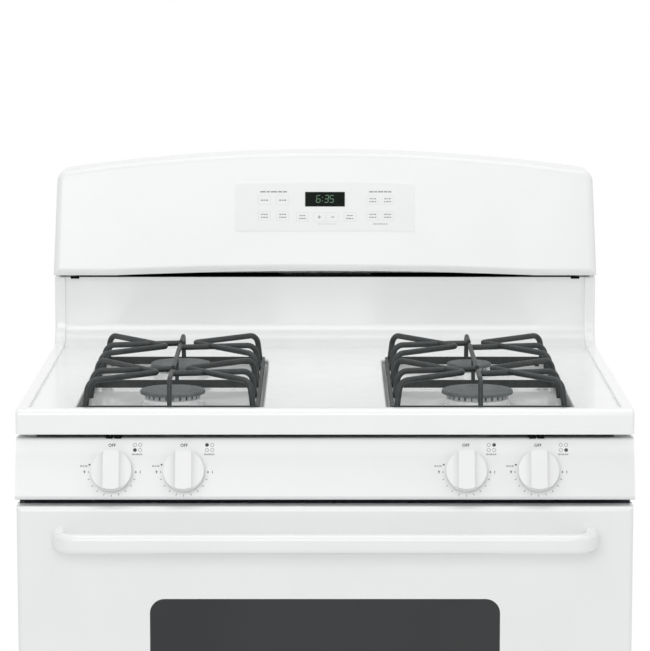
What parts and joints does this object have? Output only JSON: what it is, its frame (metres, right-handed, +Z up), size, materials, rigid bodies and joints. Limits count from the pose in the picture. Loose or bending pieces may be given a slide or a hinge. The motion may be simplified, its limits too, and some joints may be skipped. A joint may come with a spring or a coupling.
{
  "type": "freestanding gas range",
  "caption": "White freestanding gas range with paired wire grates, an arched backguard with a clock, an oven with a drop-down door and a storage drawer.",
  "frame": {"origin": "on the floor, at the centre of the footprint's box", "axes": "+X to the right seen from the front, +Y to the back, +Z up"},
  "size_m": [0.759, 0.704, 1.188],
  "materials": {
    "white_enamel": "glossy porcelain enamel",
    "white_paint": "satin baked paint",
    "galvanised": "spangled zinc",
    "black_paint": "satin black",
    "oven_enamel": "speckled porcelain enamel",
    "insulation_fibre": "glass fibre blanket",
    "rack_wire": "bright plated wire",
    "aluminised_steel": "dull",
    "burner_aluminium": "cast, satin",
    "cap_enamel": "matt grey enamel",
    "grate_enamel": "matt grey enamel",
    "knob_plastic": "satin gloss",
    "keypad_film": "matt printed film",
    "display_window": "smoked",
    "window_glass": "tinted",
    "lamp_glass": "clear",
    "white_ceramic": "matt",
    "circuit_board": "satin",
    "module_plastic": "satin",
    "brass": "machined",
    "zinc_steel": "zinc plated",
    "gasket_braid": "woven fibre over wire",
    "gland_rubber": "matt"
  },
  "bodies": {
    "cabinet": {"side_panel_left": "white_paint", "side_panel_right": "white_paint", "rear_panel": "galvanised", "base_frame": "black_paint", "front_frame": "oven_enamel", "oven_liner": "oven_enamel", "oven_insulation": "insulation_fibre", "oven_floor": "oven_enamel", "bake_burner": "aluminised_steel", "broil_burner": "aluminised_steel", "oven_igniters": "white_ceramic", "oven_lamp": "lamp_glass", "temperature_sensor": "zinc_steel", "flue_duct": "galvanised", "gas_regulator": "burner_aluminium", "manifold_pipe": "aluminised_steel", "surface_valves": "brass", "burner_tubes": "burner_aluminium", "cooktop": "white_enamel", "burner_heads": "burner_aluminium", "spark_electrodes": "white_ceramic", "spark_module": "module_plastic", "control_panel": "white_enamel", "backguard_shell": "white_paint", "backguard_rear_cover": "galvanised", "keypad_panel": "keypad_film", "display_lens": "display_window", "control_board": "circuit_board", "power_cord_gland": "gland_rubber", "hinge_receivers": "zinc_steel", "drawer_rails": "galvanised", "oven_gasket": "gasket_braid"},
    "door": {"door_panel": "white_enamel", "door_window": "window_glass", "door_inner_panel": "oven_enamel", "door_inner_glass": "window_glass", "door_handle": "white_enamel", "door_hinges": "zinc_steel"},
    "drawer": {"drawer_front": "white_enamel", "drawer_pan": "galvanised"},
    "rack_lower": {"oven_rack_lower": "rack_wire"},
    "rack_upper": {"oven_rack_upper": "rack_wire"},
    "grate_left": {"grate_left": "grate_enamel"},
    "grate_right": {"grate_right": "grate_enamel"},
    "stem_left_front": {"valve_stem_left_front": "zinc_steel"},
    "knob_left_front": {"knob_left_front": "knob_plastic"},
    "stem_left_rear": {"valve_stem_left_rear": "zinc_steel"},
    "knob_left_rear": {"knob_left_rear": "knob_plastic"},
    "stem_right_rear": {"valve_stem_right_rear": "zinc_steel"},
    "knob_right_rear": {"knob_right_rear": "knob_plastic"},
    "stem_right_front": {"valve_stem_right_front": "zinc_steel"},
    "knob_right_front": {"knob_right_front": "knob_plastic"},
    "cap_left_front": {"burner_cap_left_front": "cap_enamel"},
    "cap_left_rear": {"burner_cap_left_rear": "cap_enamel"},
    "cap_right_front": {"burner_cap_right_front": "cap_enamel"},
    "cap_right_rear": {"burner_cap_right_rear": "cap_enamel"},
    "leg_front_left": {"levelling_leg_front_left": "zinc_steel"},
    "leg_front_right": {"levelling_leg_front_right": "zinc_steel"},
    "leg_rear_left": {"levelling_leg_rear_left": "zinc_steel"},
    "leg_rear_right": {"levelling_leg_rear_right": "zinc_steel"}
  },
  "joints": [
    {"name": "door_hinge", "type": "hinge", "parent": "cabinet", "child": "door", "pos_m": [0, -0.287, 0.323], "axis": [1, 0, 0], "range_deg": [0, 90], "stiffness_Nm_per_rad": 10, "springref_deg": -22.92},
    {"name": "drawer_slide", "type": "slide", "parent": "cabinet", "child": "drawer", "axis": [0, -1, 0], "range_m": [0, 0.38]},
    {"name": "rack_lower_slide", "type": "slide", "parent": "cabinet", "child": "rack_lower", "axis": [0, -1, 0], "range_m": [0, 0.225]},
    {"name": "rack_upper_slide", "type": "slide", "parent": "cabinet", "child": "rack_upper", "axis": [0, -1, 0], "range_m": [0, 0.225]},
    {"name": "grate_left_lift", "type": "slide", "parent": "cabinet", "child": "grate_left", "axis": [0, 0, 1], "range_m": [0, 0.12]},
    {"name": "grate_right_lift", "type": "slide", "parent": "cabinet", "child": "grate_right", "axis": [0, 0, 1], "range_m": [0, 0.12]},
    {"name": "knob_left_front_turn", "type": "hinge", "parent": "cabinet", "child": "stem_left_front", "pos_m": [-0.2614, -0.2873, 0.8432], "axis": [0, -0.934, 0.3573], "range_deg": [0, 262]},
    {"name": "knob_left_front_push", "type": "slide", "parent": "stem_left_front", "child": "knob_left_front", "axis": [0, 0.934, -0.3573], "range_m": [0, 0.003], "stiffness_N_per_m": 900},
    {"name": "knob_left_rear_turn", "type": "hinge", "parent": "cabinet", "child": "stem_left_rear", "pos_m": [-0.173, -0.2873, 0.8432], "axis": [0, -0.934, 0.3573], "range_deg": [0, 262]},
    {"name": "knob_left_rear_push", "type": "slide", "parent": "stem_left_rear", "child": "knob_left_rear", "axis": [0, 0.934, -0.3573], "range_m": [0, 0.003], "stiffness_N_per_m": 900},
    {"name": "knob_right_rear_turn", "type": "hinge", "parent": "cabinet", "child": "stem_right_rear", "pos_m": [0.173, -0.2873, 0.8432], "axis": [0, -0.934, 0.3573], "range_deg": [0, 262]},
    {"name": "knob_right_rear_push", "type": "slide", "parent": "stem_right_rear", "child": "knob_right_rear", "axis": [0, 0.934, -0.3573], "range_m": [0, 0.003], "stiffness_N_per_m": 900},
    {"name": "knob_right_front_turn", "type": "hinge", "parent": "cabinet", "child": "stem_right_front", "pos_m": [0.2614, -0.2873, 0.8432], "axis": [0, -0.934, 0.3573], "range_deg": [0, 262]},
    {"name": "knob_right_front_push", "type": "slide", "parent": "stem_right_front", "child": "knob_right_front", "axis": [0, 0.934, -0.3573], "range_m": [0, 0.003], "stiffness_N_per_m": 900},
    {"name": "cap_left_front_lift", "type": "slide", "parent": "cabinet", "child": "cap_left_front", "axis": [0, 0, 1], "range_m": [0, 0.018]},
    {"name": "cap_left_rear_lift", "type": "slide", "parent": "cabinet", "child": "cap_left_rear", "axis": [0, 0, 1], "range_m": [0, 0.018]},
    {"name": "cap_right_front_lift", "type": "slide", "parent": "cabinet", "child": "cap_right_front", "axis": [0, 0, 1], "range_m": [0, 0.018]},
    {"name": "cap_right_rear_lift", "type": "slide", "parent": "cabinet", "child": "cap_right_rear", "axis": [0, 0, 1], "range_m": [0, 0.018]},
    {"name": "leg_front_left_turn", "type": "hinge", "parent": "cabinet", "child": "leg_front_left", "pos_m": [-0.3423, -0.1985, 0], "axis": [0, 0, 1], "continuous": true},
    {"name": "leg_front_right_turn", "type": "hinge", "parent": "cabinet", "child": "leg_front_right", "pos_m": [0.3423, -0.1985, 0], "axis": [0, 0, 1], "continuous": true},
    {"name": "leg_rear_left_turn", "type": "hinge", "parent": "cabinet", "child": "leg_rear_left", "pos_m": [-0.3423, 0.3188, 0], "axis": [0, 0, 1], "continuous": true},
    {"name": "leg_rear_right_turn", "type": "hinge", "parent": "cabinet", "child": "leg_rear_right", "pos_m": [0.3423, 0.3188, 0], "axis": [0, 0, 1], "continuous": true}
  ],
  "couplings": [
    {"joint": "rack_lower_slide", "follows": "door_hinge", "m_per_rad": 0.14006},
    {"joint": "rack_upper_slide", "follows": "door_hinge", "m_per_rad": 0.14006}
  ]
}
